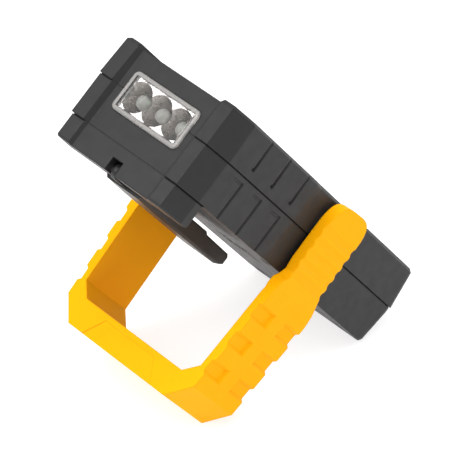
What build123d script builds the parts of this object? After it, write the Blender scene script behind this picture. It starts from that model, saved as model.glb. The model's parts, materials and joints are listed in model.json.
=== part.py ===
from build123d import *
from math import atan2, degrees, hypot
import os

# Compact LED work light with a swinging bail, standing in its easel stance.
# The lamp is drawn upright in its own frame: X across the width, front towards -Y,
# top end towards +Z, origin on the main parting line, level with the bail's pivot.
# Then it is leaned back on its bail.

# ---- shells, in millimetres ----
HEAD_HALF = 28.2        # half width of the head and grip
WAIST_HALF = 27.7       # half width where the bail's arms lie
TOP_HALF = 25.0         # half width of the top end, inside the corner facets
TOP_Z = 77.9
FACET_Z = 67.0          # where the corner facets meet the sides
WAIST_Z = 17.0
BOTTOM_Z = -58.3
KEEL_DROP = 2.3         # the bottom end is a shallow V
FRONT_Y = -14.5
PANEL_Y = -13.3         # the front panel lies back between two side rails
PANEL_HALF = 19.5
PANEL_WALL = 1.5
PANEL_LOW = -52.0
FRONT_DRAFT = 2.0       # the front shell narrows towards the front, in degrees
FRONT_ROUND = 1.0
REAR_Y = 15.5
REAR_ROUND = 0.6
SEAM_Y = REAR_Y - 0.35  # rear shell to head cover
SEAM_GAP = 0.35         # shadow gap at each parting line
SEAM_DEPTH = 0.35
COVER_Y = 24.0
COVER_END_Z = 63.3
COVER_IN = 0.95
COVER_ROUND = 0.9
STEP_IN = 0.35          # the rear shell stands this far inside the front shell
CORNER_R = 4.0          # bottom corners, so that the bail can swing past
FLOOR_Z = 75.5          # the top end is sunk between two ears
FLOOR_HALF = 17.9
EAR_SLOPE = 0.7
WALL = 2.0
FIT = 0.05

GROOVE_Z = (54.4, 41.1, 27.6)
GROOVE_W = 1.3
GROOVE_DEPTH = 0.75
FRONT_GROOVE_END = -3.3
REAR_GROOVE_END = 2.5
FRONT_HOOK = 1.0
REAR_HOOK = 5.2

# ---- bail ----
BAIL_SIDE = 28.6        # inner face of the necks, which run against the washers
BAIL_INNER_ARM = 29.8   # the arms' inner faces close in towards the crossbar
BAIL_INNER_END = 28.3
BAIL_OUTER_NECK = 32.7
BAIL_OUTER_ARM = 33.4
BAIL_OUTER_END = 31.1
BAIL_REACH = 69.0       # parting line to the crossbar's outer face
BAIL_BAR = 10.0
BAIL_HALF = 13.8        # half width of the crossbar
INNER_CORNER_Y = 54.2
INNER_CORNER_X = 23.5
OUTER_CORNER_Y = 61.0
OUTER_CORNER_X = 23.6
CAP_END = -15.0
NECK_UPPER = 9.9
NECK_LOWER = 11.2
SWELL_Y = 20.0
POCKETS_Y = (29.9, 41.2, 52.9)
POCKET_L = 5.8
POCKET_H = 13.5
POCKET_MIDDLE = 10.2
POCKET_DEPTH = 1.1
POCKET_SLOPE = 40.0
PANEL_EDGE_Y = 61.0     # shallow panel in the crossbar's edge faces
PANEL_DEPTH = 0.25
RIDGE_FIRST = -4.3
RIDGE_PITCH = 4.25
RIDGES = 5
RIDGE_R = 2.6
RIDGE_DEPTH = 0.5
RIDGE_L = 26.0
PIVOT_Y = -4.6          # centre of the rounded ends of the arms
PIVOT_R = 4.0
STUB_END = 25.4
DISC_X = 24.55
DISC_R = 6.5
DISC_T = 1.5
WASHER_R = 8.0
WASHER_T = 0.8
WASHER_X = WAIST_HALF + WASHER_T / 2 + FIT
BAIL_SCREW_R = 1.05
BAIL_SCREW_X = 25.4
BAIL_SCREW_L = 3.4
BAIL_HEAD_X = 23.65
BAIL_HEAD_R = 2.3
BAIL_HEAD_T = 0.3

# ---- hanging hook ----
HOOK_HALF = 8.0
HOOK_STEM = 0.95
HOOK_SLOT = 2.35
HOOK_PIN_Y = 22.1
HOOK_PIN_Z = 71.4
HOOK_PIN_R = 1.0
HOOK_PIN_HALF = 10.9
HOOK_BARREL_R = 2.5
HOOK_ROOT_Z = 65.6
HOOK_STEP_Z = 26.0
HOOK_TIP_Z = 8.7
HOOK_FRONT_Y = 19.0
HOOK_BACK_Y = 24.5
HOOK_STEM_BACK = 24.6
HOOK_CROWN = 0.9
HOOK_WELL_Y = 19.3
CHANNEL_Y = 18.4

# ---- power ----
CELL_R = 7.2
CELL_L = 50.3
CELL_TIP_R = 2.7
CELL_TIP_L = 1.3
CELL_PITCH = 14.9
CELL_Y = 6.0
CELL_LOW = -44.7
TRAY_HALF = 23.4
TRAY_FLOOR_Y = -2.2
DOOR_HALF = 22.5
DOOR_LOW = -46.0
DOOR_HIGH = 6.5
DOOR_T = 1.8
DOOR_GAP = 0.15
DOOR_GRIPS = 5
DOOR_GRIP_PITCH = 2.2

# ---- light ----
LED_R = 2.5
LENS_T = 1.2
FLOOD_ROWS = 8
FLOOD_COLS = 3
FLOOD_PITCH_X = 12.0
FLOOD_PITCH_Z = 6.3
FLOOD_Z = 31.0
FLOOD_W = 36.0
FLOOD_H = 51.0
FLOOD_FLANGE = 0.9
FLOOD_BOARD_Y = -5.0
FLOOD_DOME_Y = -7.9
REFLECTOR_BACK_Y = -6.0
SPOT_PITCH = 9.2
SPOT_HALF_X = 15.1
SPOT_HALF_Y = 7.25
SPOT_CORNER = 1.9
SPOT_LOW_Z = 66.5
SPOT_PROUD = 0.7
SPOT_WALL = 1.2
SPOT_DOME_Z = 70.0
SPOT_CUP_R = 5.4
BUTTON_Z = -18.0
BUTTON_R = 6.5
BUTTON_PROUD = 0.8
BUTTON_FLANGE_R = 7.7
BUTTON_STEM_Y = -9.0
PLUNGER_BACK_Y = -7.4
BOARD_T = 1.2

# ---- screws ----
SHELL_SCREWS = [(21.0, 70.5), (23.2, 12.0), (20.0, -52.0)]
COVER_SCREWS = [(14.5, 70.0), (-14.5, 70.0)]
SCREW_R = 1.05
SCREW_HEAD_R = 2.0
SCREW_CLEAR_R = 1.3
POST_R = 2.6
PILOT_R = 1.1
COUNTERBORE_R = 2.15
COUNTERBORE_Y = 6.0

pieces = {}


def keep(builder, label):
    """Name a finished piece and put it on the list."""
    builder.part.label = label
    pieces[label] = builder.part


def at_y(y):
    """A plane across the lamp at depth y. Extruding from it goes towards the front."""
    return Plane(origin=(0, y, 0), x_dir=(1, 0, 0), z_dir=(0, -1, 0))


def at_x(x):
    """A plane along the lamp, with Y to the right and Z up. Extruding goes towards +X."""
    return Plane(origin=(x, 0, 0), x_dir=(0, 1, 0), z_dir=(1, 0, 0))


def plan_outline(y, inset):
    """The lamp's outline seen from the front, drawn at depth y."""
    with BuildSketch(at_y(y)) as outline:
        with BuildLine():
            Polyline(
                (-WAIST_HALF, BOTTOM_Z - KEEL_DROP),
                (-WAIST_HALF, WAIST_Z),
                (-HEAD_HALF, WAIST_Z + 4),
                (-HEAD_HALF, FACET_Z),
                (-TOP_HALF, TOP_Z),
                (TOP_HALF, TOP_Z),
                (HEAD_HALF, FACET_Z),
                (HEAD_HALF, WAIST_Z + 4),
                (WAIST_HALF, WAIST_Z),
                (WAIST_HALF, BOTTOM_Z - KEEL_DROP),
                close=True,
            )
        make_face()
        if inset > 0:
            offset(amount=-inset, kind=Kind.INTERSECTION, mode=Mode.REPLACE)
    return outline.sketch


def side_outline(inset):
    """The lamp's outline seen from the side, with Y to the right and Z up."""
    with BuildSketch(at_x(-40)) as outline:
        with BuildLine():
            Polyline(
                (FRONT_Y, TOP_Z + 5),
                (FRONT_Y, BOTTOM_Z),
                (0, BOTTOM_Z - KEEL_DROP),
                (REAR_Y - REAR_ROUND, BOTTOM_Z),
                (REAR_Y, BOTTOM_Z + REAR_ROUND),
                (REAR_Y, COVER_END_Z),
                (SEAM_Y, COVER_END_Z),
                (SEAM_Y, TOP_Z + 5),
                close=True,
            )
        make_face()
        if inset > 0:
            offset(amount=-inset, kind=Kind.INTERSECTION, mode=Mode.REPLACE)
    return outline.sketch


def body_block(front, back, inset, step=0.0, draft=0.0, corner=0.0):
    """A slice of the lamp's solid form between two depths."""
    with BuildPart() as block:
        extrude(plan_outline(back, inset + step), amount=back - front, taper=draft)
        extrude(side_outline(inset), amount=80, mode=Mode.INTERSECT)
        if corner > 0:
            low = block.edges().filter_by(lambda e: e.center().Z < BOTTOM_Z + 2)
            corners = low.filter_by(lambda e: abs(e.center().X) > 24 and e.bounding_box().size.X < 1)
            fillet(corners, corner)
    return block.part


def room_inside(front, back, step=0.0):
    """The room inside a shell, kept below the sunk top end."""
    with BuildPart() as room:
        add(body_block(front, back, WALL, step))
        with Locations((0, 0, FLOOR_Z - WALL + 50)):
            Box(100, 100, 100, mode=Mode.SUBTRACT)
    return room.part


def groove_shape(x, z, y_edge, y_end, hook):
    """One grip groove seen from the side: a straight run with a short hook towards the top end."""
    with BuildSketch(at_x(x)) as shape:
        with Locations(((y_edge + y_end) / 2, z)):
            Rectangle(abs(y_edge - y_end), GROOVE_W)
        with Locations((y_end, z)):
            Circle(GROOVE_W / 2)
        with Locations((y_end, z + hook / 2)):
            Rectangle(GROOVE_W * 0.7, hook)
        with Locations((y_end, z + hook)):
            Circle(GROOVE_W * 0.35)
    return shape.sketch


def grip_grooves(y_edge, y_end, hook):
    """Three grooves in each side of a shell, from its outer edge towards the parting line."""
    for z in GROOVE_Z:
        for side in (-1, 1):
            shape = groove_shape(side * (HEAD_HALF + 1), z, y_edge, y_end, hook)
            extrude(shape, amount=-side * (1 + GROOVE_DEPTH), mode=Mode.SUBTRACT)


def recess_shape(y):
    """The sunk part of the top end, between sloping ears, drawn at depth y."""
    rise = TOP_Z + 1 - FLOOR_Z
    with BuildSketch(at_y(y)) as shape:
        with BuildLine():
            Polyline(
                (-FLOOR_HALF - EAR_SLOPE * rise, FLOOR_Z + rise),
                (-FLOOR_HALF, FLOOR_Z),
                (FLOOR_HALF, FLOOR_Z),
                (FLOOR_HALF + EAR_SLOPE * rise, FLOOR_Z + rise),
                close=True,
            )
        make_face()
    return shape.sketch


def top_recess(front, back):
    extrude(recess_shape(back + 1), amount=back - front + 2, mode=Mode.SUBTRACT)


def spot_opening():
    """The spot window, cut down through the top end."""
    with BuildSketch(Plane.XY.offset(FLOOR_Z + 3)) as shape:
        RectangleRounded(2 * (SPOT_HALF_X + FIT), 2 * (SPOT_HALF_Y + FIT), SPOT_CORNER)
    extrude(shape.sketch, amount=-7, mode=Mode.SUBTRACT)


def discs_at_y(y, spots, radius, amount, mode=Mode.ADD):
    """Round posts or holes that run towards the front from depth y."""
    with BuildSketch(at_y(y)) as shape:
        with Locations(*spots):
            Circle(radius)
    extrude(shape.sketch, amount=amount, mode=mode)


def panel_at_y(y, middle, width, height, radius, amount, mode=Mode.ADD):
    """A rounded plate that runs towards the front from depth y."""
    with BuildSketch(at_y(y)) as shape:
        with Locations((0, middle)):
            RectangleRounded(width, height, radius)
    extrude(shape.sketch, amount=amount, mode=mode)


def both_sides(spots):
    return [(side * x, z) for x, z in spots for side in (-1, 1)]


def build_front_shell():
    inside_y = PANEL_Y + PANEL_WALL
    with BuildPart() as front_shell:
        add(body_block(FRONT_Y, 0, 0, draft=FRONT_DRAFT, corner=CORNER_R))
        rim = front_shell.faces().sort_by(Axis.Y)[0].outer_wire().edges()
        chamfer(rim, FRONT_ROUND)
        top_recess(FRONT_Y, 0)
        with Locations((0, (FRONT_Y - 5 + PANEL_Y) / 2, (PANEL_LOW + TOP_Z + 5) / 2)):
            Box(2 * PANEL_HALF, PANEL_Y - FRONT_Y + 5, TOP_Z + 5 - PANEL_LOW, mode=Mode.SUBTRACT)
        add(room_inside(inside_y, 0.01), mode=Mode.SUBTRACT)
        # flood window, and the button's hole with a dished rim
        panel_at_y(0, FLOOD_Z, FLOOD_W, FLOOD_H, 4, 20, Mode.SUBTRACT)
        discs_at_y(0, [(0, BUTTON_Z)], BUTTON_R + FIT, 20, Mode.SUBTRACT)
        discs_at_y(PANEL_Y + 0.5, [(0, BUTTON_Z)], BUTTON_R + 2.2, 2, Mode.SUBTRACT)
        spot_opening()
        # the bail's pivot holes
        with BuildSketch(at_x(-40)):
            with Locations((PIVOT_Y, 0)):
                Circle(PIVOT_R + FIT)
        extrude(amount=80, mode=Mode.SUBTRACT)
        discs_at_y(0, both_sides(SHELL_SCREWS), POST_R, -inside_y + 0.1)
        discs_at_y(0, both_sides(SHELL_SCREWS), PILOT_R, 9, Mode.SUBTRACT)
        grip_grooves(FRONT_Y - 1, FRONT_GROOVE_END, FRONT_HOOK)
    keep(front_shell, "front_shell")


def build_rear_shell():
    with BuildPart() as rear_shell:
        add(body_block(SEAM_GAP, REAR_Y, 0, STEP_IN, corner=CORNER_R))
        back = rear_shell.faces().filter_by(Axis.Y).sort_by(Axis.Y)[-1]
        side_edges = back.edges().filter_by(lambda e: abs(e.center().X) > 20)
        fillet(side_edges, REAR_ROUND)
        add(body_block(0, SEAM_GAP + 0.01, SEAM_DEPTH, STEP_IN, corner=CORNER_R - SEAM_DEPTH))
        top_recess(0, REAR_Y)
        add(room_inside(-0.01, REAR_Y, STEP_IN), mode=Mode.SUBTRACT)
        # battery opening, with a ledge for the door
        door_width = 2 * (DOOR_HALF + DOOR_GAP)
        door_height = DOOR_HIGH - DOOR_LOW + 2 * DOOR_GAP
        with Locations((0, REAR_Y, (DOOR_LOW + DOOR_HIGH) / 2)):
            Box(door_width, 2 * (DOOR_T + 0.1), door_height, mode=Mode.SUBTRACT)
            Box(door_width - 0.9, 20, door_height - 1.9, mode=Mode.SUBTRACT)
        spot_opening()
        spots = both_sides(SHELL_SCREWS)
        outside = REAR_Y + 1
        discs_at_y(REAR_Y - WALL, spots, POST_R, REAR_Y - WALL)
        discs_at_y(outside, spots, SCREW_CLEAR_R, outside, Mode.SUBTRACT)
        discs_at_y(outside, spots, COUNTERBORE_R, outside - COUNTERBORE_Y, Mode.SUBTRACT)
        discs_at_y(SEAM_Y + 1, COVER_SCREWS, SCREW_CLEAR_R, 4, Mode.SUBTRACT)
        grip_grooves(REAR_Y + 1, REAR_GROOVE_END, REAR_HOOK)
    keep(rear_shell, "rear_shell")


def build_head_cover():
    lip = COVER_IN + SEAM_DEPTH
    foot_y = SEAM_Y + SEAM_GAP
    middle_z = (COVER_END_Z + FLOOR_Z) / 2
    height = FLOOR_Z - COVER_END_Z
    with BuildPart() as head_cover:
        extrude(plan_outline(COVER_Y, COVER_IN), amount=COVER_Y - foot_y)
        with Locations((0, COVER_Y, COVER_END_Z - 100)):
            Box(80, 40, 200, mode=Mode.SUBTRACT)
        outer = head_cover.faces().sort_by(Axis.Y)[-1].outer_wire().edges()
        fillet(outer, COVER_ROUND)
        # lip that closes the shadow gap
        with BuildPart(mode=Mode.PRIVATE) as rim:
            extrude(plan_outline(foot_y + 0.01, lip), amount=SEAM_GAP + 0.01)
            with Locations((0, SEAM_Y, COVER_END_Z + SEAM_DEPTH - 100)):
                Box(80, 40, 200, mode=Mode.SUBTRACT)
        add(rim.part)
        top_recess(SEAM_Y - 1, COVER_Y)
        # hollow, open towards the rear shell
        with Locations((0, (COVER_Y - WALL) / 2, middle_z)):
            Box(2 * (TOP_HALF - WALL - 1), COVER_Y - WALL, height - 2 * WALL, mode=Mode.SUBTRACT)
        # block that carries the hook, its channel and its slot
        with Locations((0, (COVER_Y + SEAM_Y) / 2, middle_z)):
            Box(2 * (HOOK_HALF + 4), COVER_Y - SEAM_Y, height)
        with Locations((0, CHANNEL_Y + 10, COVER_END_Z - 2)):
            Box(2 * HOOK_HALF + 0.8, 20, 12, mode=Mode.SUBTRACT)
        with Locations((0, HOOK_WELL_Y + 10, TOP_Z - 5)):
            Box(2 * HOOK_SLOT, 20, 14, mode=Mode.SUBTRACT)
        with BuildSketch(at_x(-HOOK_PIN_HALF - 0.1)):
            with Locations((HOOK_PIN_Y, HOOK_PIN_Z)):
                Circle(HOOK_PIN_R)
        extrude(amount=2 * (HOOK_PIN_HALF + 0.1), mode=Mode.SUBTRACT)
        # posts for the cover screws
        discs_at_y(COVER_Y - WALL, COVER_SCREWS, POST_R, COVER_Y - WALL - SEAM_Y)
        discs_at_y(COVER_Y - WALL, COVER_SCREWS, PILOT_R, 10, Mode.SUBTRACT)
    keep(head_cover, "head_cover")


def build_hook():
    crown_y = HOOK_BACK_Y + HOOK_CROWN
    with BuildPart() as hanging_hook:
        # side profile of the plate, crowned on its back
        with BuildSketch(at_x(-HOOK_HALF)):
            with BuildLine():
                Polyline(
                    (HOOK_FRONT_Y, HOOK_ROOT_Z),
                    (crown_y - 0.3, HOOK_ROOT_Z),
                    (crown_y, HOOK_ROOT_Z - 12),
                    (crown_y, HOOK_TIP_Z + 3.5),
                    (crown_y - 1.6, HOOK_TIP_Z),
                    (HOOK_FRONT_Y + 2.2, HOOK_TIP_Z),
                    (HOOK_FRONT_Y + 1.2, HOOK_TIP_Z + 1.2),
                    (HOOK_FRONT_Y + 0.8, HOOK_STEP_Z - 0.7),
                    (HOOK_FRONT_Y, HOOK_STEP_Z + 0.7),
                    close=True,
                )
            make_face()
        extrude(amount=2 * HOOK_HALF)
        long_edges = hanging_hook.edges().filter_by(lambda e: e.center().Y > 24 and e.length > 10)
        chamfer(long_edges.filter_by(lambda e: abs(e.center().X) > 7), HOOK_CROWN)
        # stem and hinge barrel
        with BuildSketch(at_x(-HOOK_STEM)):
            with Locations((HOOK_PIN_Y, HOOK_PIN_Z)):
                Circle(HOOK_BARREL_R)
            with Locations(((HOOK_PIN_Y + HOOK_STEM_BACK) / 2, (HOOK_PIN_Z + HOOK_ROOT_Z) / 2)):
                Rectangle(HOOK_STEM_BACK - HOOK_PIN_Y, HOOK_PIN_Z - HOOK_ROOT_Z + 1)
        extrude(amount=2 * HOOK_STEM)
        with BuildSketch(at_x(-HOOK_STEM)):
            with Locations((HOOK_PIN_Y, HOOK_PIN_Z)):
                Circle(HOOK_PIN_R + FIT)
        extrude(amount=2 * HOOK_STEM, mode=Mode.SUBTRACT)
    keep(hanging_hook, "hanging_hook")

    with BuildPart() as hook_pin:
        with BuildSketch(at_x(-HOOK_PIN_HALF)):
            with Locations((HOOK_PIN_Y, HOOK_PIN_Z)):
                Circle(HOOK_PIN_R)
        extrude(amount=2 * HOOK_PIN_HALF)
    keep(hook_pin, "hook_pin")


def led_spots():
    """Where the flood LEDs stand: X across, Z up."""
    first_x = -(FLOOD_COLS - 1) / 2 * FLOOD_PITCH_X
    first_z = FLOOD_Z - (FLOOD_ROWS - 1) / 2 * FLOOD_PITCH_Z
    return [
        (first_x + col * FLOOD_PITCH_X, first_z + row * FLOOD_PITCH_Z)
        for col in range(FLOOD_COLS)
        for row in range(FLOOD_ROWS)
    ]


def build_flood():
    inside_y = PANEL_Y + PANEL_WALL
    reflector_front = inside_y + LENS_T
    reflector_depth = REFLECTOR_BACK_Y - reflector_front
    flange_w = FLOOD_W + 2 * FLOOD_FLANGE
    flange_h = FLOOD_H + 2 * FLOOD_FLANGE
    with BuildPart() as flood_lens:
        panel_at_y(reflector_front, FLOOD_Z, flange_w, flange_h, 4.8, LENS_T)
        panel_at_y(inside_y, FLOOD_Z, FLOOD_W - 0.2, FLOOD_H - 0.2, 3.9, PANEL_WALL + 0.5)
        fillet(flood_lens.faces().sort_by(Axis.Y)[0].outer_wire().edges(), 0.4)
    keep(flood_lens, "flood_lens")

    with BuildPart() as flood_reflector:
        panel_at_y(REFLECTOR_BACK_Y, FLOOD_Z, FLOOD_W + 1.6, FLOOD_H + 1.6, 4, reflector_depth)
        with Locations(*[Location((x, reflector_front, z), (90, 0, 0)) for x, z in led_spots()]):
            Cone(LED_R + 0.1, 3.1, 6.0, mode=Mode.SUBTRACT)
        discs_at_y(0, led_spots(), LED_R + 0.1, 20, Mode.SUBTRACT)
    keep(flood_reflector, "flood_reflector")

    with BuildPart() as flood_leds:
        discs_at_y(FLOOD_BOARD_Y, led_spots(), LED_R, FLOOD_BOARD_Y - FLOOD_DOME_Y)
        with Locations(*[(x, FLOOD_DOME_Y, z) for x, z in led_spots()]):
            Sphere(LED_R)
    keep(flood_leds, "flood_leds")

    with BuildPart() as flood_board:
        panel_at_y(FLOOD_BOARD_Y + BOARD_T, FLOOD_Z, FLOOD_W + 2, FLOOD_H + 1, 1, BOARD_T)
    keep(flood_board, "flood_board")


def build_spot():
    spots = [(-SPOT_PITCH, 0), (0, 0), (SPOT_PITCH, 0)]
    top = FLOOR_Z + SPOT_PROUD
    with BuildPart() as spot_lens:
        with BuildSketch(Plane.XY.offset(SPOT_LOW_Z)):
            RectangleRounded(2 * SPOT_HALF_X, 2 * SPOT_HALF_Y, SPOT_CORNER)
        extrude(amount=top - SPOT_LOW_Z)
        fillet(spot_lens.faces().sort_by(Axis.Z)[-1].outer_wire().edges(), 0.6)
        with BuildSketch(Plane.XY.offset(SPOT_LOW_Z)):
            RectangleRounded(2 * (SPOT_HALF_X - SPOT_WALL), 2 * (SPOT_HALF_Y - SPOT_WALL), 1.0)
        extrude(amount=top - SPOT_WALL - SPOT_LOW_Z, mode=Mode.SUBTRACT)
    keep(spot_lens, "spot_lens")

    reflector_wall = SPOT_WALL + 0.1
    reflector_depth = top - SPOT_WALL - 0.6 - SPOT_LOW_Z
    with BuildPart() as spot_reflector:
        with BuildSketch(Plane.XY.offset(SPOT_LOW_Z)):
            RectangleRounded(2 * (SPOT_HALF_X - reflector_wall), 2 * (SPOT_HALF_Y - reflector_wall), 0.9)
        extrude(amount=reflector_depth)
        with Locations(*[(x, y, SPOT_LOW_Z + reflector_depth / 2 + 0.1) for x, y in spots]):
            Cone(LED_R + 0.1, SPOT_CUP_R, reflector_depth, mode=Mode.SUBTRACT)
        with BuildSketch(Plane.XY.offset(SPOT_LOW_Z - 1)):
            with Locations(*spots):
                Circle(LED_R + 0.1)
        extrude(amount=5, mode=Mode.SUBTRACT)
    keep(spot_reflector, "spot_reflector")

    board_z = SPOT_LOW_Z - 1.2
    with BuildPart() as spot_leds:
        with BuildSketch(Plane.XY.offset(board_z)):
            with Locations(*spots):
                Circle(LED_R)
        extrude(amount=SPOT_DOME_Z - board_z)
        with Locations(*[(x, y, SPOT_DOME_Z) for x, y in spots]):
            Sphere(LED_R)
    keep(spot_leds, "spot_leds")

    with BuildPart() as spot_board:
        with BuildSketch(Plane.XY.offset(board_z - BOARD_T)):
            Rectangle(2 * SPOT_HALF_X, 2 * SPOT_HALF_Y - 0.4)
        extrude(amount=BOARD_T)
    keep(spot_board, "spot_board")


def build_switch():
    spot = [(0, BUTTON_Z)]
    flange_y = PANEL_Y + PANEL_WALL + FIT
    with BuildPart() as switch_button:
        discs_at_y(flange_y, spot, BUTTON_R, flange_y - PANEL_Y + BUTTON_PROUD)
        fillet(switch_button.faces().sort_by(Axis.Y)[0].outer_wire().edges(), 0.6)
        discs_at_y(flange_y + 1.2, spot, BUTTON_FLANGE_R, 1.2)
        discs_at_y(BUTTON_STEM_Y, spot, 2.0, BUTTON_STEM_Y - flange_y)
    keep(switch_button, "switch_button")

    with BuildPart() as switch_plunger:
        discs_at_y(PLUNGER_BACK_Y, spot, 1.7, PLUNGER_BACK_Y - BUTTON_STEM_Y - FIT)
    keep(switch_plunger, "switch_plunger")

    with BuildPart() as switch_body:
        with Locations((0, FLOOD_BOARD_Y - 1.6, BUTTON_Z)):
            Box(6, 3.2, 6)
        discs_at_y(PLUNGER_BACK_Y + 1.2, spot, 1.8, 4, Mode.SUBTRACT)
    keep(switch_body, "switch_body")

    with BuildPart() as driver_board:
        with Locations((0, FLOOD_BOARD_Y + BOARD_T / 2, -24)):
            Box(36, BOARD_T, 40)
    keep(driver_board, "driver_board")


def build_power():
    lanes = [(x, CELL_Y) for x in (-CELL_PITCH, 0, CELL_PITCH)]
    low = CELL_LOW - 1.9
    high = CELL_LOW + CELL_L + 2.9
    tray_back = CELL_Y + 1
    with BuildPart() as battery_tray:
        with Locations((0, (tray_back + TRAY_FLOOR_Y) / 2, (low + high) / 2)):
            Box(2 * TRAY_HALF, tray_back - TRAY_FLOOR_Y, high - low)
        with BuildSketch(Plane.XY.offset(CELL_LOW - 1.0)):
            with Locations(*lanes):
                Circle(CELL_R + 0.1)
            with Locations((0, CELL_Y + 3)):
                Rectangle(2 * (CELL_PITCH + CELL_R + 0.1), 6)
        extrude(amount=CELL_L + 3.0, mode=Mode.SUBTRACT)
    keep(battery_tray, "battery_tray")

    with BuildPart() as battery_cells:
        for radius, start, length in (
            (CELL_R, CELL_LOW, CELL_L - CELL_TIP_L),
            (CELL_TIP_R, CELL_LOW + CELL_L - CELL_TIP_L, CELL_TIP_L),
        ):
            with BuildSketch(Plane.XY.offset(start)):
                with Locations(*lanes):
                    Circle(radius)
            extrude(amount=length)
    keep(battery_cells, "battery_cells")

    with BuildPart() as battery_springs:
        for spot in lanes:
            with BuildSketch(Plane.XY.offset(CELL_LOW - 0.95)):
                with Locations(spot):
                    Circle(4.0)
                    Circle(3.0, mode=Mode.SUBTRACT)
            extrude(amount=0.9)
    keep(battery_springs, "battery_springs")

    with BuildPart() as battery_contacts:
        with BuildSketch(Plane.XY.offset(CELL_LOW + CELL_L + 0.1)):
            with Locations(*lanes):
                RectangleRounded(9, 8, 1)
        extrude(amount=0.5)
    keep(battery_contacts, "battery_contacts")

    with BuildPart() as battery_door:
        with Locations((0, REAR_Y - DOOR_T / 2, (DOOR_LOW + DOOR_HIGH) / 2)):
            Box(2 * DOOR_HALF, DOOR_T, DOOR_HIGH - DOOR_LOW)
        # the lower edge is round and turns in the shell
        fillet(battery_door.edges().filter_by(Axis.X).group_by(Axis.Z)[0], DOOR_T / 2 - 0.01)
        for n in range(DOOR_GRIPS):
            with Locations((0, REAR_Y, DOOR_HIGH - 5 - DOOR_GRIP_PITCH * n)):
                Box(16, 0.8, 0.9, mode=Mode.SUBTRACT)
    keep(battery_door, "battery_door")


def bail_plan():
    """The bail seen from the lamp's top end, X across and Y away from the body."""
    right = [
        (BAIL_SIDE, SWELL_Y - 3),
        (BAIL_SIDE, CAP_END - 1),
        (BAIL_OUTER_NECK, CAP_END - 1),
        (BAIL_OUTER_NECK, SWELL_Y - 5.5),
        (BAIL_OUTER_ARM, SWELL_Y),
        (BAIL_OUTER_ARM, SWELL_Y + 5),
        (BAIL_OUTER_END, OUTER_CORNER_Y),
        (OUTER_CORNER_X, BAIL_REACH),
    ]
    inner = [
        (INNER_CORNER_X, BAIL_REACH - BAIL_BAR),
        (BAIL_INNER_END, INNER_CORNER_Y),
        (BAIL_INNER_ARM, SWELL_Y + 2),
    ]
    with BuildSketch(Plane.XY.offset(-BAIL_HALF - 1)) as plan:
        with BuildLine():
            Polyline(
                *right,
                *[(-x, y) for x, y in reversed(right)],
                *[(-x, y) for x, y in reversed(inner)],
                *inner,
                close=True,
            )
        make_face()
    return plan.sketch


def bail_profile():
    """The bail seen from the side, Y away from the body and Z up: cap, neck, arm and crossbar."""
    arm = [(SWELL_Y, BAIL_HALF - 0.5), (SWELL_Y + 4, BAIL_HALF), (BAIL_REACH, BAIL_HALF)]
    upper = [
        (PIVOT_Y, NECK_UPPER),
        (9.0, NECK_UPPER - 0.2),
        (13.0, NECK_UPPER - 1.0),
        (15.5, NECK_UPPER + 0.2),
        (17.5, NECK_UPPER + 2.2),
        *arm,
    ]
    lower = [
        (PIVOT_Y - 2, -NECK_LOWER),
        (13.0, -NECK_LOWER - 0.5),
        (16.0, -NECK_LOWER - 1.2),
        *[(y, -z) for y, z in arm],
    ]
    with BuildSketch(at_x(-40)) as profile:
        with BuildLine():
            Polyline(*upper, *reversed(lower))
            Spline(lower[0], (CAP_END, -0.8), upper[0], tangents=((-1, 0), (1, 0)))
        make_face()
    return profile.sketch


def arm_face(side):
    """The plane of one arm's outer face, along the arm and up."""
    run = (BAIL_OUTER_END - BAIL_OUTER_ARM, OUTER_CORNER_Y - SWELL_Y - 5)
    return Plane(
        origin=(side * BAIL_OUTER_ARM, SWELL_Y + 5, 0),
        x_dir=(side * run[0], run[1], 0),
        z_dir=(side * run[1], -run[0], 0),
    )


def pocket_shapes(side):
    """Six pockets in one arm, open at its long edges."""
    run = hypot(BAIL_OUTER_END - BAIL_OUTER_ARM, OUTER_CORNER_Y - SWELL_Y - 5)
    stretch = run / (OUTER_CORNER_Y - SWELL_Y - 5)
    with BuildSketch(arm_face(side)) as shape:
        for y in POCKETS_Y:
            along = (y - SWELL_Y - 5) * stretch
            with Locations((along, POCKET_MIDDLE), (along, -POCKET_MIDDLE)):
                Rectangle(POCKET_L, POCKET_H)
    return shape.sketch


def crossbar_panel():
    """Outline of the shallow panel, open at the crossbar's outer face."""
    with BuildSketch(Plane.XY) as shape:
        with BuildLine():
            Polyline(
                (-12, PANEL_EDGE_Y),
                (12, PANEL_EDGE_Y),
                (17.5, BAIL_REACH + 1),
                (-17.5, BAIL_REACH + 1),
                close=True,
            )
        make_face()
    return shape.sketch


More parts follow.
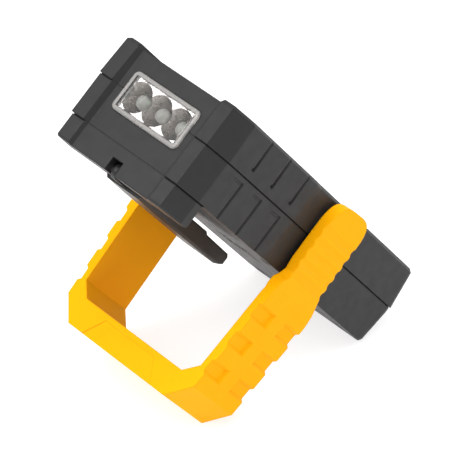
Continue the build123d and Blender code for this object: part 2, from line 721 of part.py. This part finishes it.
def build_bail():
    stub_l = BAIL_SIDE + 0.5 - STUB_END
    with BuildPart() as bail:
        extrude(bail_plan(), amount=2 * BAIL_HALF + 2)
        extrude(bail_profile(), amount=80, mode=Mode.INTERSECT)
        for side in (-1, 1):
            extrude(pocket_shapes(side), amount=-POCKET_DEPTH, taper=POCKET_SLOPE, mode=Mode.SUBTRACT)
            for n in range(RIDGES):
                centre_x = side * (BAIL_OUTER_NECK + RIDGE_R - RIDGE_DEPTH)
                with Locations((centre_x, RIDGE_FIRST + RIDGE_PITCH * n, (NECK_UPPER - NECK_LOWER) / 2)):
                    Cylinder(RIDGE_R, RIDGE_L, mode=Mode.SUBTRACT)
            with Locations((0, 0, side * BAIL_HALF)):
                panel = extrude(crossbar_panel(), amount=PANEL_DEPTH, both=True, mode=Mode.PRIVATE)
                add(panel, mode=Mode.SUBTRACT)
            # the stub that turns in the front shell
            with Locations(Location((side * (STUB_END + stub_l / 2), PIVOT_Y, 0), (0, 90, 0))):
                Cylinder(PIVOT_R, stub_l)
                Cylinder(PILOT_R, stub_l + 0.2, mode=Mode.SUBTRACT)
    keep(bail, "bail")

    for side, word in ((-1, "left"), (1, "right")):
        with BuildPart() as disc:
            with Locations(Location((side * DISC_X, PIVOT_Y, 0), (0, 90, 0))):
                Cylinder(DISC_R, DISC_T)
                Cylinder(SCREW_CLEAR_R, DISC_T, mode=Mode.SUBTRACT)
        keep(disc, f"bail_disc_{word}")
        with BuildPart() as washer:
            with Locations(Location((side * WASHER_X, PIVOT_Y, 0), (0, 90, 0))):
                Cylinder(WASHER_R, WASHER_T)
                Cylinder(PIVOT_R + 0.1, WASHER_T, mode=Mode.SUBTRACT)
        keep(washer, f"bail_washer_{word}")

    with BuildPart() as bail_screws:
        for side in (-1, 1):
            with Locations(Location((side * BAIL_SCREW_X, PIVOT_Y, 0), (0, 90, 0))):
                Cylinder(BAIL_SCREW_R, BAIL_SCREW_L)
            with Locations(Location((side * BAIL_HEAD_X, PIVOT_Y, 0), (0, 90, 0))):
                Cylinder(BAIL_HEAD_R, BAIL_HEAD_T)
    keep(bail_screws, "bail_screws")


def build_screws():
    with BuildPart() as shell_screws:
        discs_at_y(COUNTERBORE_Y + 0.5, both_sides(SHELL_SCREWS), SCREW_R, 13.6)
        discs_at_y(COUNTERBORE_Y + 1.9, both_sides(SHELL_SCREWS), SCREW_HEAD_R, 1.88)
    keep(shell_screws, "shell_screws")

    wall_inside = SEAM_Y - WALL - STEP_IN
    with BuildPart() as cover_screws:
        discs_at_y(COVER_Y - 3.5, COVER_SCREWS, SCREW_R, COVER_Y - 3.5 - wall_inside + 1)
        discs_at_y(wall_inside, COVER_SCREWS, SCREW_HEAD_R, 1.6)
    keep(cover_screws, "cover_screws")


build_front_shell()
build_rear_shell()
build_head_cover()
build_hook()
build_flood()
build_spot()
build_switch()
build_power()
build_bail()
build_screws()

# The stance: the bottom's rear edge and the crossbar's lower edge both touch the ground.
lean = atan2(-BAIL_HALF - BOTTOM_Z, BAIL_REACH - (REAR_Y - REAR_ROUND))
leaned = [Rot(X=-degrees(lean)) * part for part in pieces.values()]
box = Compound(children=leaned).bounding_box()
stance = Location((0, -(box.min.Y + box.max.Y) / 2, -box.min.Z)) * Rot(X=-degrees(lean))

os.makedirs("parts", exist_ok=True)
for label, part in pieces.items():
    placed = stance * part
    placed.label = label
    export_step(placed, f"parts/{label}.step")
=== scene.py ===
import json
import math
import bpy
import bmesh
from mathutils import Matrix, Vector

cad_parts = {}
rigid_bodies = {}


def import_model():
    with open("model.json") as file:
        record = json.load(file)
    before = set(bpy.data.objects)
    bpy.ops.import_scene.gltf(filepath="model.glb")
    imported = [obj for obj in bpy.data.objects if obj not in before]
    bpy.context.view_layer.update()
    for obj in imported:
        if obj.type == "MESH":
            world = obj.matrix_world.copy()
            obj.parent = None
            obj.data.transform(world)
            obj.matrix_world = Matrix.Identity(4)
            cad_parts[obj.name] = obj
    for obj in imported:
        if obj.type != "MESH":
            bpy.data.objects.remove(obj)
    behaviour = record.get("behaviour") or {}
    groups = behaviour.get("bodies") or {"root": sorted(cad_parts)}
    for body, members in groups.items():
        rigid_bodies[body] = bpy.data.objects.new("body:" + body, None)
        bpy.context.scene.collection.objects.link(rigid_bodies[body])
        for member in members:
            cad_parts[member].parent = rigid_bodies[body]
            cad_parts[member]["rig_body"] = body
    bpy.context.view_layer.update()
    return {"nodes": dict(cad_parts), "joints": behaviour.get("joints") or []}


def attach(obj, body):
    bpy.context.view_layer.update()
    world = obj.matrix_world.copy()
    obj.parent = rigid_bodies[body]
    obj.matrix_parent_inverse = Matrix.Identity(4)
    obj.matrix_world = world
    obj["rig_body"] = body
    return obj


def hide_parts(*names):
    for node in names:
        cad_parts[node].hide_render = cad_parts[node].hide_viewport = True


# A compact LED work light standing on its bottom edge and its bail, on a pale floor.

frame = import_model()

JOINTS = {joint["name"]: joint for joint in frame["joints"]}
PIVOT = Vector(JOINTS["bail_hinge"]["pos_m"])
BACKWARD = Vector(JOINTS["button_slide"]["axis"])
LEAN = math.atan2(-BACKWARD.z, BACKWARD.y)
MM = 0.001
PIVOT_DEPTH = -4.6      # the bail's pivot lies this far in front of the main parting line, in mm
# From the lamp's own upright frame (X across, Y to the back, Z to the top end, in mm) to the scene's frame.
LAMP = Matrix.Translation(PIVOT) @ Matrix.Rotation(-LEAN, 4, "X") @ Matrix.Scale(MM, 4)
LAMP = LAMP @ Matrix.Translation((0, -PIVOT_DEPTH, 0))


# ---- node helpers ----

MIX_FIRST, MIX_SECOND, MIX_RESULT = 6, 7, 2     # a Mix node's sockets for colours
NOISE_LOW, NOISE_HIGH = 0.3, 0.7                # most of a noise's values lie between these
GRAIN_SIZE = 0.0004                             # of moulded plastic, in metres, as is its depth
GRAIN_DEPTH = 0.00003
# how far edges are lightened: partly rubbing wear, partly a painted edge highlight
EDGE_WEAR_AND_HIGHLIGHT = 0.05


def new_material(name):
    material = bpy.data.materials.new(name)
    material.use_nodes = True
    material.node_tree.nodes.clear()
    return material


def add_node(material, kind, **settings):
    node = material.node_tree.nodes.new(kind)
    for key, value in settings.items():
        setattr(node, key, value)
    return node


def wire(material, source, target, out=0, into=0):
    material.node_tree.links.new(source.outputs[out], target.inputs[into])


def noise(material, coords, scale, detail, roughness=0.55):
    node = add_node(material, "ShaderNodeTexNoise")
    node.inputs["Scale"].default_value = scale
    node.inputs["Detail"].default_value = detail
    node.inputs["Roughness"].default_value = roughness
    wire(material, coords, node, "Object", "Vector")
    return node


def spread(material, source, low, high):
    """Stretch the middle of a noise from low to high."""
    node = add_node(material, "ShaderNodeMapRange")
    node.inputs["From Min"].default_value = NOISE_LOW
    node.inputs["From Max"].default_value = NOISE_HIGH
    node.inputs["To Min"].default_value = low
    node.inputs["To Max"].default_value = high
    wire(material, source, node, "Fac", "Value")
    return node


def mix_colour(material, factor, first, second):
    node = add_node(material, "ShaderNodeMix", data_type="RGBA")
    node.inputs[MIX_FIRST].default_value = (*first, 1)
    node.inputs[MIX_SECOND].default_value = (*second, 1)
    wire(material, factor, node, 0, 0)
    return node


def turned(material, rounded, low, high):
    """White where the rounded normal turns away from the flat one, which is along edges."""
    geometry = add_node(material, "ShaderNodeNewGeometry")
    dot = add_node(material, "ShaderNodeVectorMath", operation="DOT_PRODUCT")
    wire(material, rounded, dot, 0, 0)
    wire(material, geometry, dot, "Normal", 1)
    ramp = add_node(material, "ShaderNodeMapRange")
    ramp.inputs["From Min"].default_value = high
    ramp.inputs["From Max"].default_value = low
    wire(material, dot, ramp, "Value", "Value")
    return ramp


def plastic(name, colour, roughness, soft=0.0006, variation=0.1, specular=0.5, glow=0.0):
    """Moulded plastic: softly rounded edges, fine grain, slight cloudiness, and edges lightened, partly as
    rubbing wear and partly as a painted highlight.
    """
    material = new_material(name)
    coords = add_node(material, "ShaderNodeTexCoord")
    shader = add_node(material, "ShaderNodeBsdfPrincipled")
    output = add_node(material, "ShaderNodeOutputMaterial")
    wire(material, shader, output)
    rounded = add_node(material, "ShaderNodeBevel", samples=8)
    rounded.inputs["Radius"].default_value = soft
    darker = [c * (1 - variation) for c in colour]
    lighter = [c * (1 + variation) for c in colour]
    cloud = mix_colour(material, noise(material, coords, 55, 3), darker, lighter)
    # lighten the edges towards white: partly rubbing wear, partly a painted highlight along every rim,
    # concave ones too
    worn_and_highlit = add_node(material, "ShaderNodeMix", data_type="RGBA")
    wire(material, cloud, worn_and_highlit, MIX_RESULT, MIX_FIRST)
    worn_and_highlit.inputs[MIX_SECOND].default_value = (*[min(1, c + 0.3 * (1 - c)) for c in colour], 1)
    wear_and_highlight_amount = add_node(material, "ShaderNodeMath", operation="MULTIPLY")
    wire(material, turned(material, rounded, 0.8, 0.97), wear_and_highlight_amount, "Result", 0)
    wire(material, spread(material, noise(material, coords, 900, 5), 0.0, EDGE_WEAR_AND_HIGHLIGHT), wear_and_highlight_amount, "Result", 1)
    wire(material, wear_and_highlight_amount, worn_and_highlit, 0, 0)
    wire(material, worn_and_highlit, shader, MIX_RESULT, "Base Color")
    sheen = spread(material, noise(material, coords, 260, 4), roughness - 0.06, roughness + 0.06)
    wire(material, sheen, shader, "Result", "Roughness")
    shader.inputs["Specular IOR Level"].default_value = specular
    shader.inputs["Subsurface Weight"].default_value = glow
    shader.inputs["Subsurface Radius"].default_value = (1.0, 0.35, 0.05)
    shader.inputs["Subsurface Scale"].default_value = 0.003
    bump = add_node(material, "ShaderNodeBump")
    bump.inputs["Strength"].default_value = 0.35
    bump.inputs["Distance"].default_value = GRAIN_DEPTH
    wire(material, noise(material, coords, 1 / GRAIN_SIZE, 2, 0.5), bump, "Fac", "Height")
    wire(material, rounded, bump, 0, "Normal")
    wire(material, bump, shader, 0, "Normal")
    return material


def metal(name, colour, roughness):
    """Plated metal with a faint haze."""
    material = new_material(name)
    coords = add_node(material, "ShaderNodeTexCoord")
    shader = add_node(material, "ShaderNodeBsdfPrincipled")
    output = add_node(material, "ShaderNodeOutputMaterial")
    wire(material, shader, output)
    shader.inputs["Metallic"].default_value = 1.0
    haze = noise(material, coords, 700, 4)
    tone = mix_colour(material, haze, [c * 0.85 for c in colour], colour)
    wire(material, tone, shader, MIX_RESULT, "Base Color")
    wire(material, spread(material, haze, roughness * 0.7, roughness * 1.3), shader, "Result", "Roughness")
    bump = add_node(material, "ShaderNodeBump")
    bump.inputs["Strength"].default_value = 0.15
    bump.inputs["Distance"].default_value = 0.00002
    wire(material, noise(material, coords, 2500, 2), bump, "Fac", "Height")
    wire(material, bump, shader, 0, "Normal")
    return material


def clear(name, tint, roughness=0.03, ior=1.49):
    """Clear moulded plastic with faint flow lines."""
    material = new_material(name)
    coords = add_node(material, "ShaderNodeTexCoord")
    shader = add_node(material, "ShaderNodeBsdfPrincipled")
    output = add_node(material, "ShaderNodeOutputMaterial")
    wire(material, shader, output)
    shader.inputs["Base Color"].default_value = (*tint, 1)
    shader.inputs["Transmission Weight"].default_value = 1.0
    shader.inputs["IOR"].default_value = ior
    flow = noise(material, coords, 120, 3)
    wire(material, spread(material, flow, roughness * 0.5, roughness * 1.5), shader, "Result", "Roughness")
    bump = add_node(material, "ShaderNodeBump")
    bump.inputs["Strength"].default_value = 0.05
    bump.inputs["Distance"].default_value = 0.0001
    wire(material, flow, bump, "Fac", "Height")
    wire(material, bump, shader, 0, "Normal")
    return material


def frosted(name, colour, roughness):
    """Milky moulded plastic that passes and scatters light."""
    material = clear(name, colour, roughness, 1.45)
    shader = next(node for node in material.node_tree.nodes if node.type == "BSDF_PRINCIPLED")
    shader.inputs["Transmission Weight"].default_value = 0.6
    return material


MATERIALS = {
    "shell": plastic("shell_plastic", (0.016, 0.016, 0.0165), roughness=0.46, specular=0.27),
    "cover": plastic("cover_plastic", (0.0165, 0.0165, 0.017), roughness=0.44, specular=0.27),
    "hook": plastic("hook_plastic", (0.0165, 0.0165, 0.017), roughness=0.38, soft=0.0009, specular=0.3),
    "bail": plastic("bail_plastic", (0.97, 0.42, 0.002), roughness=0.45, soft=0.0007, variation=0.03,
                    specular=0.03, glow=0.08),
    "clear": clear("clear_plastic", (0.97, 0.98, 0.98)),
    "frosted": frosted("frosted_plastic", (0.6, 0.58, 0.56), 0.25),
    "reflector": metal("reflector_coat", (0.74, 0.7, 0.68), roughness=0.3),
    "led": frosted("led_epoxy", (0.93, 0.9, 0.84), roughness=0.12),
    "board": plastic("board_laminate", (0.01, 0.12, 0.035), roughness=0.35),
    "rubber": plastic("button_rubber", (0.02, 0.02, 0.021), roughness=0.7),
    "black": plastic("black_plastic", (0.015, 0.015, 0.015), roughness=0.5),
    "steel": metal("plated_steel", (0.7, 0.69, 0.66), roughness=0.28),
    "cell": metal("cell_can", (0.22, 0.24, 0.28), roughness=0.35),
    "acetal": plastic("washer_plastic", (0.8, 0.8, 0.77), roughness=0.45),
}

NODE_MATERIALS = {
    "front_shell": "shell", "rear_shell": "shell", "battery_door": "shell", "head_cover": "cover",
    "hanging_hook": "hook", "hook_pin": "steel", "flood_lens": "clear", "flood_reflector": "reflector",
    "flood_leds": "led", "flood_board": "board",
    "spot_lens": "clear", "spot_reflector": "reflector", "spot_leds": "led", "spot_board": "board",
    "switch_button": "rubber", "switch_plunger": "black", "switch_body": "black", "driver_board": "board",
    "battery_tray": "black", "battery_cells": "cell", "battery_springs": "steel", "battery_contacts": "steel",
    "bail": "bail", "bail_disc_left": "steel", "bail_disc_right": "steel", "bail_washer_left": "acetal",
    "bail_washer_right": "acetal", "bail_screws": "steel", "shell_screws": "steel", "cover_screws": "steel",
}


def dress(obj, material):
    obj.data.materials.clear()
    obj.data.materials.append(material)


for node_name, key in NODE_MATERIALS.items():
    dress(frame["nodes"][node_name], MATERIALS[key])


# ---- spot window ----

def local_box(node_name):
    """The lowest and highest corner of a CAD node in the lamp's own frame, in mm."""
    node = frame["nodes"][node_name]
    back = LAMP.inverted() @ node.matrix_world
    points = [back @ vertex.co for vertex in node.data.vertices]
    low = Vector([min(point[axis] for point in points) for axis in range(3)])
    high = Vector([max(point[axis] for point in points) for axis in range(3)])
    return low, high


def rounded_loop(half_x, half_y, radius, height, steps=8):
    """Points round a rounded rectangle, at one height."""
    points = []
    for corner in range(4):
        side_x = 1 if corner in (0, 3) else -1
        side_y = 1 if corner in (0, 1) else -1
        for step in range(steps + 1):
            angle = math.radians(90 * (corner + step / steps))
            x = side_x * (half_x - radius) + radius * math.cos(angle)
            y = side_y * (half_y - radius) + radius * math.sin(angle)
            points.append(Vector((x, y, height)))
    return points


def lathe_mesh(name, loops, capped):
    """A skin through loops with the same number of points, closed end to end or capped."""
    mesh = bpy.data.meshes.new(name)
    build = bmesh.new()
    rings = [[build.verts.new(LAMP @ point) for point in loop] for loop in loops]
    pairs = list(zip(rings, rings[1:]))
    if not capped:
        pairs.append((rings[-1], rings[0]))
    for lower, upper in pairs:
        for n in range(len(lower)):
            m = (n + 1) % len(lower)
            build.faces.new((lower[n], lower[m], upper[m], upper[n]))
    if capped:
        build.faces.new(list(reversed(rings[0])))
        build.faces.new(rings[-1])
    bmesh.ops.recalc_face_normals(build, faces=build.faces)
    build.to_mesh(mesh)
    build.free()
    for polygon in mesh.polygons:
        polygon.use_smooth = len(polygon.vertices) == 4
    piece = bpy.data.objects.new(name, mesh)
    bpy.context.scene.collection.objects.link(piece)
    return piece


def spot_window():
    """The window is moulded in one piece: a frosted rim round a clear pane.

    Each profile is a list of (distance in from the window's edge, height), in mm.
    """
    low, high = local_box("spot_lens")
    half_x, half_y, top = high.x, high.y, high.z
    corner = 1.9
    least_corner = 0.3
    rim_width = 1.5
    rim_profile = [(0.0, low.z), (0.0, top - 0.7), (0.1, top - 0.35), (0.3, top - 0.12), (0.6, top),
                   (rim_width - 0.3, top), (rim_width - 0.1, top - 0.1), (rim_width, top - 0.3),
                   (rim_width, low.z)]
    loops = []
    for inset, z in rim_profile:
        loops.append(rounded_loop(half_x - inset, half_y - inset, max(corner - inset, least_corner), z))
    rim = lathe_mesh("spot_window_rim", loops, False)
    dress(rim, MATERIALS["frosted"])
    gap = rim_width + 0.01
    pane_profile = [(gap, top - 1.3), (gap, top - 0.3), (gap + 0.15, top - 0.12), (gap + 0.4, top - 0.08)]
    loops = []
    for inset, z in pane_profile:
        loops.append(rounded_loop(half_x - inset, half_y - inset, least_corner, z))
    pane = lathe_mesh("spot_window_pane", loops, True)
    dress(pane, MATERIALS["clear"])
    for piece in (rim, pane):
        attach(piece, frame["nodes"]["spot_lens"]["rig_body"])
        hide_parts("spot_lens")


spot_window()


# ---- floor, light and camera ----

def floor():
    bpy.ops.mesh.primitive_plane_add(size=6)
    plane = bpy.context.object
    plane.name = "floor"
    material = new_material("floor_paper")
    coords = add_node(material, "ShaderNodeTexCoord")
    shader = add_node(material, "ShaderNodeBsdfPrincipled")
    output = add_node(material, "ShaderNodeOutputMaterial")
    wire(material, shader, output)
    tone = mix_colour(material, noise(material, coords, 3, 2), (0.39, 0.39, 0.39), (0.42, 0.42, 0.42))
    wire(material, tone, shader, MIX_RESULT, "Base Color")
    shader.inputs["Roughness"].default_value = 0.9
    shader.inputs["Emission Color"].default_value = (1, 1, 1, 1)
    shader.inputs["Emission Strength"].default_value = 0.72
    plane.data.materials.append(material)


def area_light(name, place, aim, size, energy):
    data = bpy.data.lights.new(name, "AREA")
    data.shape = "DISK"
    data.size = size
    data.energy = energy
    lamp = bpy.data.objects.new(name, data)
    lamp.location = place
    lamp.rotation_euler = (Vector(aim) - Vector(place)).to_track_quat("-Z", "Y").to_euler()
    bpy.context.scene.collection.objects.link(lamp)


def studio():
    """A white tent, darker towards the horizon, with large soft lamps above and behind."""
    world = bpy.data.worlds.new("studio")
    bpy.context.scene.world = world
    world.use_nodes = True
    tree = world.node_tree
    background = tree.nodes["Background"]
    background.inputs["Color"].default_value = (1, 1, 1, 1)
    coords = tree.nodes.new("ShaderNodeTexCoord")
    parts = tree.nodes.new("ShaderNodeSeparateXYZ")
    tree.links.new(coords.outputs["Generated"], parts.inputs["Vector"])
    ramp = tree.nodes.new("ShaderNodeMapRange")
    ramp.inputs["From Min"].default_value = 0.0
    ramp.inputs["From Max"].default_value = 0.9
    ramp.inputs["To Min"].default_value = 0.3
    ramp.inputs["To Max"].default_value = 1.3
    tree.links.new(parts.outputs["Z"], ramp.inputs["Value"])
    tree.links.new(ramp.outputs["Result"], background.inputs["Strength"])
    middle = (0, 0, 0.06)
    area_light("key", (0.5, 1.1, 1.3), middle, 1.1, 15)
    area_light("fill", (-1.5, 0.5, 0.75), middle, 1.0, 3)
    area_light("top", (-0.2, -0.1, 1.7), middle, 1.4, 9)


VIEW_AZIMUTH = 226.13
VIEW_ELEVATION = 36.97
VIEW_DISTANCE = 1.0
VIEW_ROLL = -3.07
VIEW_FOCAL = 241.7
VIEW_TARGET = Vector((-0.0034, 0.00726, 0.05394))


def camera():
    azimuth, elevation = math.radians(VIEW_AZIMUTH), math.radians(VIEW_ELEVATION)
    level = math.cos(elevation)
    direction = Vector((math.sin(azimuth) * level, -math.cos(azimuth) * level, math.sin(elevation)))
    data = bpy.data.cameras.new("view")
    data.sensor_width = 36
    data.lens = VIEW_FOCAL
    data.clip_start = 0.01
    data.clip_end = 20
    eye = bpy.data.objects.new("view", data)
    eye.location = VIEW_TARGET + VIEW_DISTANCE * direction
    roll = Matrix.Rotation(math.radians(-VIEW_ROLL), 3, "Z")
    turn = (-direction).to_track_quat("-Z", "Y").to_matrix() @ roll
    eye.rotation_euler = turn.to_euler()
    bpy.context.scene.collection.objects.link(eye)
    bpy.context.scene.camera = eye


floor()
studio()
camera()
bpy.context.scene.view_settings.view_transform = "Standard"
